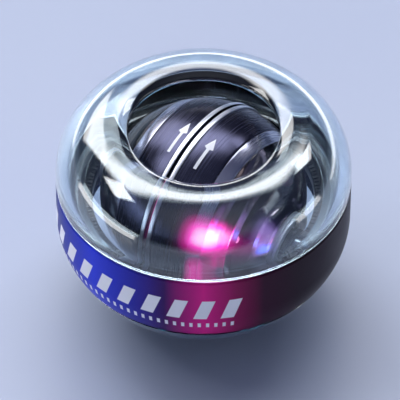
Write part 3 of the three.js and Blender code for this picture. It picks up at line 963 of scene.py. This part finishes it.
def upper_shell():
    """The shoulder with its broad domed lip, a bead and a groove over the band, and the
    upper ledge of the race."""
    bottom = TRACK_Z + GAP / 2
    race_roof = TRACK_Z + RACE_H / 2
    bead = BAND_TOP + GAP + BEAD_H
    body = bead + BEAD_GROOVE_H
    crest = SHOULDER_Z + SHOULDER_R * cos(LIP_TILT)
    under = EDGE_Z - LIP_WALL_H
    profile = outline(bottom, BAND_TOP + GAP, RECESS)
    profile += [(outline_radius(z, 0), z) for z in (BAND_TOP + GAP, bead)]
    profile += [(outline_radius(z, BEAD_GROOVE_DEPTH), z) for z in (bead, body)]
    profile += outline(body, crest, 0)
    profile += arc(LIP_X, LIP_Z, LIP_R, pi / 2 - LIP_TILT, pi / 2 + LIP_TURN, LIP_STEPS)[1:]
    profile += arc(EDGE_X, EDGE_Z, LIP_EDGE_R, pi / 2 + LIP_TURN, pi, LIP_EDGE_STEPS)[1:]
    profile += [(EDGE_X - LIP_EDGE_R, under)]
    profile += outline(race_roof + LEDGE_T, under, WALL)[::-1]
    profile += [(LEDGE_R, race_roof + LEDGE_T), (LEDGE_R, race_roof), (RACE_R, race_roof)]
    profile += [(RACE_R, bottom)]
    shell = turned("upper_shell_clear", profile, SHELL_EDGE, about_z(), CASE_STEPS)
    low, high = TRACK_Z - CUT, bottom + LUG_H + GAP
    notches = joint_lugs(RACE_R - GAP, BALL_R - RECESS + GAP, low, high, LUG_W + 2 * GAP)
    combined(shell, [notches], "DIFFERENCE")
    placed(shell, "case", CLEAR, ["upper_shell"])


def grip_band():
    """The band's film goes round its outside, and its back is bare rubber."""
    profile = [(outline_radius(BAND_BOTTOM, BAND_T), BAND_BOTTOM)]
    profile += [(outline_radius(BAND_BOTTOM, BAND_BEVEL), BAND_BOTTOM)]
    profile += outline(BAND_BOTTOM + BAND_BEVEL, BAND_TOP - BAND_BEVEL, 0)
    profile += [(outline_radius(BAND_TOP, BAND_BEVEL), BAND_TOP)]
    profile += outline(BAND_BOTTOM + BAND_BEVEL, BAND_TOP, BAND_T)[::-1]
    band = turned("grip_band_film", profile, BAND_EDGE, about_z(), CASE_STEPS)
    placed(band, "case", GRIP, ["grip_band"])
    band.data.materials.append(RUBBER)
    for face in band.data.polygons:
        if face.normal.x * face.center.x + face.normal.y * face.center.y < 0:
            face.material_index = 1


# Ring and what it carries


def ribs(half_turn, side):
    """Fine ribs that stiffen the ring's inner edge, from one slot round to the other."""
    face = side * RING_T / 2
    levels = sorted((TRACK_Z + face - side * RIB_SINK, TRACK_Z + face + side * RIB_H))
    low = (RING_INNER + RIB_SINK, -RIB_W / 2, levels[0])
    high = (LEDGE_R - GAP, RIB_W / 2, levels[1])
    count = int((pi - 2 * RIB_START) / RIB_STEP) + 1
    first = half_turn + RIB_START
    return repeated(block("rib", low, high), count, UPRIGHT, BLACK, step=RIB_STEP, turn=first)


def precession_ring():
    """A flat ring with a stepped slot at each end of the axle, for its tip and for its fork."""
    half = RING_T / 2
    profile = [(RING_INNER, -half), (RING_OUTER, -half), (RING_OUTER, half), (RING_INNER, half)]
    profile = [(r, z + TRACK_Z) for r, z in profile]
    ring = turned("precession_ring_nylon", profile, RING_EDGE, about_z(), CASE_STEPS)
    inside, under, over = RING_INNER - CUT, TRACK_Z - RING_T, TRACK_Z + RING_T
    slots = []
    for turn in (0, pi):
        about = Matrix.Rotation(turn, 4, "Z")
        for half_width, end in ((BORE_R, TIP_END + GAP), (FLANGE_R + GAP, PRONG_END + GAP)):
            low, high = (inside, -half_width, under), (end, half_width, over)
            slots.append(block("slot", low, high, about))
    combined(ring, slots, "DIFFERENCE")
    joined(ring, [ribs(half_turn, side) for half_turn in (0, pi) for side in (1, -1)])
    placed(ring, "ring", BLACK, ["precession_ring"])


def fork(name, sleeve, side, node_name):
    """A sleeve round the axle with a flange and two prongs that enter the ring's slot."""
    profile = sleeve + [(SLEEVE_R, FLANGE_END - FLANGE_T), (FLANGE_R, FLANGE_END - FLANGE_T)]
    profile += [(FLANGE_R, FLANGE_END), (BORE_R, FLANGE_END)]
    body = turned(name, profile, FORK_EDGE, about_x(side), SMALL_STEPS)
    about = Matrix.Rotation(0 if side > 0 else pi, 4, "Z")
    root = FLANGE_END - FLANGE_T / 2
    inside = FLANGE_R - PRONG_T
    low, high = TRACK_Z - RING_T / 2, TRACK_Z + RING_T / 2
    prongs = [
        block("prong", (root, inside, low), (PRONG_END, FLANGE_R, high), about),
        block("prong", (root, -FLANGE_R, low), (PRONG_END, -inside, high), about),
    ]
    combined(body, prongs, "UNION")
    placed(body, "ring", BLACK, [node_name])


# Rotor


def rotor_half(side, word):
    """A hollow half of the waist, with a ridge beside the groove that the joint lies in."""
    start, end = SEAM, CORE_END - SEAM
    pocket = across(ROTOR_R, CORE_END) - CORE_T
    profile = [(BORE_R, start), (GROOVE_R, start), (GROOVE_R, GROOVE_W / 2)]
    profile += zone(GROOVE_W / 2, RIDGE_END, RIDGE_R) + zone(RIDGE_END, end, ROTOR_R)
    profile += [(pocket, end), (pocket, WEB_T), (BORE_R, WEB_T)]
    half = turned("rotor_half_chrome_" + word, profile, HALF_EDGE, about_x(side), ROTOR_STEPS)
    placed(half, "rotor", CORE_CHROME, ["rotor_half_" + word])


def body_ring(name, start, end, thickness, side):
    """A ring with a rounded outside, from one joint of the rotor's body to the next."""
    bore = across(ROTOR_R, end) - thickness
    start, end = start + SEAM, end - SEAM
    profile = [(bore, start), *zone(start, end, ROTOR_R), (bore, end)]
    return turned(name, profile, ROTOR_EDGE, about_x(side), ROTOR_STEPS)


def trim_ring(side, word):
    ring = body_ring("trim_ring_satin_" + word, CORE_END, TRIM_END, TRIM_T, side)
    placed(ring, "rotor", SATIN, ["trim_ring_" + word])


def window_ring(side, word):
    ring = body_ring("window_ring_smoked_" + word, TRIM_END, WINDOW_END, WINDOW_T, side)
    placed(ring, "rotor", WINDOW, ["window_ring_" + word])


def side_cap(side, word):
    """A domed cap with a sunk seat for the collar."""
    start = WINDOW_END + SEAM
    seat = across(ROTOR_R, CAP_END) - CAP_LIP
    face = CAP_END - COLLAR_SINK
    profile = [*zone(start, CAP_END, ROTOR_R), (seat, CAP_END), (seat, face)]
    profile += [(SLEEVE_R + PLAY, face), (SLEEVE_R + PLAY, face - CAP_T)]
    profile += zone(start, face - CAP_T, ROTOR_R - CAP_T)[::-1]
    cap = turned("side_cap_smoked_" + word, profile, ROTOR_EDGE, about_x(side), ROTOR_STEPS)
    placed(cap, "rotor", WINDOW, ["side_cap_" + word])


def end_collar(side, word):
    """A deep-rimmed collar with a groove round its rim and a notch in it, and its disc."""
    outer = across(ROTOR_R, CAP_END) - CAP_LIP - GAP
    back = CAP_END - COLLAR_SINK + GAP
    face = back + COLLAR_T
    top = across(RING_INNER - PLAY, outer)
    band = top - COLLAR_BAND
    waist = outer - COLLAR_GROOVE
    inside = outer - COLLAR_RIM
    bore = SLEEVE_R + PLAY
    profile = [(bore, back), (outer, back), (outer, band - COLLAR_GROOVE)]
    profile += [(waist, band - COLLAR_GROOVE), (waist, band), (outer, band), (outer, top)]
    profile += [(inside, top), (inside, face), (bore, face)]
    collar = turned("end_collar_chrome_" + word, profile, ROTOR_EDGE, about_x(side), ROTOR_STEPS)
    low = (top - NOTCH_H, -NOTCH_W / 2, inside - GAP)
    high = (top + CUT, NOTCH_W / 2, outer + CUT)
    turn = Matrix.Rotation(-NOTCH_ANGLE, 4, "X")
    turn = Matrix.Translation((0, 0, TRACK_Z)) @ turn
    if side < 0:
        turn = Matrix.Rotation(pi, 4, "Z") @ turn
    combined(collar, [block("notch", low, high, turn)], "DIFFERENCE")
    placed(collar, "rotor", SATIN_CHROME, ["end_collar_" + word])
    start = face + GAP
    disc_r = inside - GAP
    profile = [(bore, start), (disc_r, start), (disc_r, start + DISC_T), (bore, start + DISC_T)]
    disc = turned("end_disc_nickel_" + word, profile, DISC_EDGE, about_x(side), ROTOR_STEPS)
    placed(disc, "rotor", DARK_SATIN, ["end_disc_" + word])


def axle():
    """A pin with rounded tips that reach into the race."""
    profile = [(0, -TIP_END), (AXLE_R, -TIP_END), (AXLE_R, TIP_END), (0, TIP_END)]
    pin = turned("axle_ground", profile, TIP_EDGE, about_x(), SMALL_STEPS, closed=False)
    placed(pin, "rotor", STEEL, ["axle"])


def arrows(name, along, start):
    """Printed arrows that follow the rotor's round body, one for each light."""
    mesh = bmesh.new()
    strips = []
    for level in ARROW_LEVELS:
        for i in range(ARROW_ROWS + 1):
            share = i / ARROW_ROWS
            if share < 1 - ARROW_HEAD_SHARE:
                width = ARROW_SHAFT
            else:
                width = ARROW_HEAD * (1 - share) / ARROW_HEAD_SHARE
            angle = start - ARROW_L * share
            line = []
            for edge in (-width, width):
                s = along + edge
                r = across(ROTOR_R, s) + level
                line.append(mesh.verts.new((s, -r * sin(angle), TRACK_Z + r * cos(angle))))
            strips.append(line)
    half = ARROW_ROWS + 1
    for i in range(ARROW_ROWS):
        a, b, c, d = strips[i], strips[i + 1], strips[half + i], strips[half + i + 1]
        mesh.faces.new([a[0], a[1], b[1], b[0]])
        mesh.faces.new([c[0], d[0], d[1], c[1]])
        mesh.faces.new([a[0], b[0], d[0], c[0]])
        mesh.faces.new([a[1], c[1], d[1], b[1]])
    mesh.faces.new([strips[0][0], strips[half][0], strips[half][1], strips[0][1]])
    bmesh.ops.dissolve_degenerate(mesh, dist=THIN, edges=mesh.edges)
    made = repeated(finished(name, mesh), LED_COUNT, ALONG_AXLE, SILVER_INK)
    placed(made, "rotor", SILVER_INK, ())


# Floor, lights and camera


def floor():
    """A plain pale floor, a little uneven in shade, like a painted board."""
    mesh = bmesh.new()
    bmesh.ops.create_circle(mesh, cap_ends=True, radius=FLOOR_R, segments=FLOOR_STEPS)
    ground = finished("floor", mesh)
    material, tree, shader, place = surface("pale_floor")
    cloud = node(tree, "ShaderNodeTexNoise", {"Vector": place, "Scale": 1 / (170 * MM)})
    colour = ramp(tree, cloud.outputs["Fac"], [(0.3, "#a6b0c9"), (0.7, "#abb5cd")])
    tree.links.new(colour, shader.inputs["Base Color"])
    shader.inputs["Roughness"].default_value = 0.35
    ground.data.materials.append(material)


def studio():
    """A dim room with soft boxes, placed by their bearing from behind the ball, and a pale
    backdrop all round above the floor."""
    world = bpy.data.worlds.new("studio")
    bpy.context.scene.world = world
    world.use_nodes = True
    tree = world.node_tree
    back = tree.nodes["Background"]
    way = node(tree, "ShaderNodeTexCoord").outputs["Generated"]
    parts = node(tree, "ShaderNodeSeparateXYZ", {"Vector": way})
    light = ramp(tree, parts.outputs["Z"], ROOM)
    # the box on the horizon is only seen mirrored: past and through the ball is the backdrop
    ray = node(tree, "ShaderNodeLightPath").outputs
    straight = node(
        tree,
        "ShaderNodeMath",
        {0: ray["Is Camera Ray"], 1: ray["Is Transmission Ray"]},
        operation="MAXIMUM",
    )
    mirrored = node(tree, "ShaderNodeMath", {0: 1.0, 1: straight.outputs[0]}, operation="SUBTRACT")
    away = Vector((-sin(VIEW_AZIMUTH), cos(VIEW_AZIMUTH), 0))
    right = Vector((cos(VIEW_AZIMUTH), sin(VIEW_AZIMUTH), 0))
    for bearing, elevation, wide, high, edge, strength in SOFT_BOXES:
        turn, rise = radians(bearing), radians(elevation)
        axis = (away * cos(turn) + right * sin(turn)) * cos(rise) + Vector((0, 0, sin(rise)))
        level = right * cos(turn) - away * sin(turn)
        ahead = node(tree, "ShaderNodeVectorMath", {0: way, 1: axis}, operation="DOT_PRODUCT")
        depth = node(
            tree, "ShaderNodeMath", {0: ahead.outputs["Value"], 1: NEVER_ZERO}, operation="MAXIMUM"
        )
        value = strength
        if elevation == HORIZON:
            dimmed = node(
                tree, "ShaderNodeMath", {0: mirrored.outputs[0], 1: strength}, operation="MULTIPLY"
            )
            value = dimmed.outputs[0]
        for side, half in ((level, wide), (level.cross(axis), high)):
            off = node(tree, "ShaderNodeVectorMath", {0: way, 1: side}, operation="DOT_PRODUCT")
            size = node(tree, "ShaderNodeMath", {0: off.outputs["Value"]}, operation="ABSOLUTE")
            share = node(
                tree,
                "ShaderNodeMath",
                {0: size.outputs[0], 1: depth.outputs[0]},
                operation="DIVIDE",
            )
            inside = node(
                tree,
                "ShaderNodeMapRange",
                {
                    "Value": share.outputs[0],
                    "From Min": tan(radians(half + edge)),
                    "From Max": tan(radians(half - edge)),
                    "To Max": value,
                },
                interpolation_type="SMOOTHSTEP",
            )
            value = inside.outputs["Result"]
        added = node(tree, "ShaderNodeVectorMath", {0: light, 1: value}, operation="ADD")
        light = added.outputs["Vector"]
    tree.links.new(light, back.inputs["Color"])


def camera():
    """The photograph's view, through a long lens."""
    data = bpy.data.cameras.new("camera")
    data.sensor_width = SENSOR
    data.lens = SENSOR * FOCAL_PIXELS / IMAGE_PIXELS
    data.clip_end = FAR_CLIP
    data.shift_x = -(BALL_PIXEL[0] - IMAGE_PIXELS / 2) / IMAGE_PIXELS
    data.shift_y = (BALL_PIXEL[1] - IMAGE_PIXELS / 2) / IMAGE_PIXELS
    eye = bpy.data.objects.new("camera", data)
    level = VIEW_DISTANCE * cos(VIEW_ELEVATION)
    eye.location = (
        level * sin(VIEW_AZIMUTH),
        -level * cos(VIEW_AZIMUTH),
        VIEW_TARGET_Z + VIEW_DISTANCE * sin(VIEW_ELEVATION),
    )
    to_ball = Vector((0, 0, VIEW_TARGET_Z)) - eye.location
    eye.rotation_euler = to_ball.to_track_quat("-Z", "Y").to_euler()
    bpy.context.scene.collection.objects.link(eye)
    bpy.context.scene.camera = eye


camera()
floor()
studio()
bpy.context.scene.view_settings.view_transform = "Standard"

lower_shell()
upper_shell()
grip_band()
precession_ring()
hub = [(BORE_R, HUB_START), (HUB_R, HUB_START), (HUB_R, HUB_END), (SLEEVE_R, HUB_END)]
fork("spring_arbor_nylon", hub, 1, "spring_arbor")
carrier = [(BORE_R, CARRIER_START), (SLEEVE_R, CARRIER_START)]
fork("magnet_carrier_nylon", carrier, -1, "magnet_carrier")
axle()
for side, word in ((1, "right"), (-1, "left")):
    rotor_half(side, word)
    trim_ring(side, word)
    window_ring(side, word)
    side_cap(side, word)
    end_collar(side, word)
arrows("arrows_left", *ARROW_LEFT)
arrows("arrows_right", *ARROW_RIGHT)

CAD_FINISHES = [  # a node takes the first whose word its name starts with
    ("led_board", BOARD),
    (LIT_LIGHT, LIT_LENS),
    ("led_", LENS),
    ("coil_core", BLACK),
    ("coil_winding", COPPER),
    ("ring_magnet", FERRITE),
    ("spring_barrel", SATIN),
    ("barrel_lid", SATIN),
    ("mainspring", SPRING),
]
for name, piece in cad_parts.items():
    for start, material in CAD_FINISHES:
        if name.startswith(start):
            piece.data.materials.clear()
            piece.data.materials.append(material)
            break
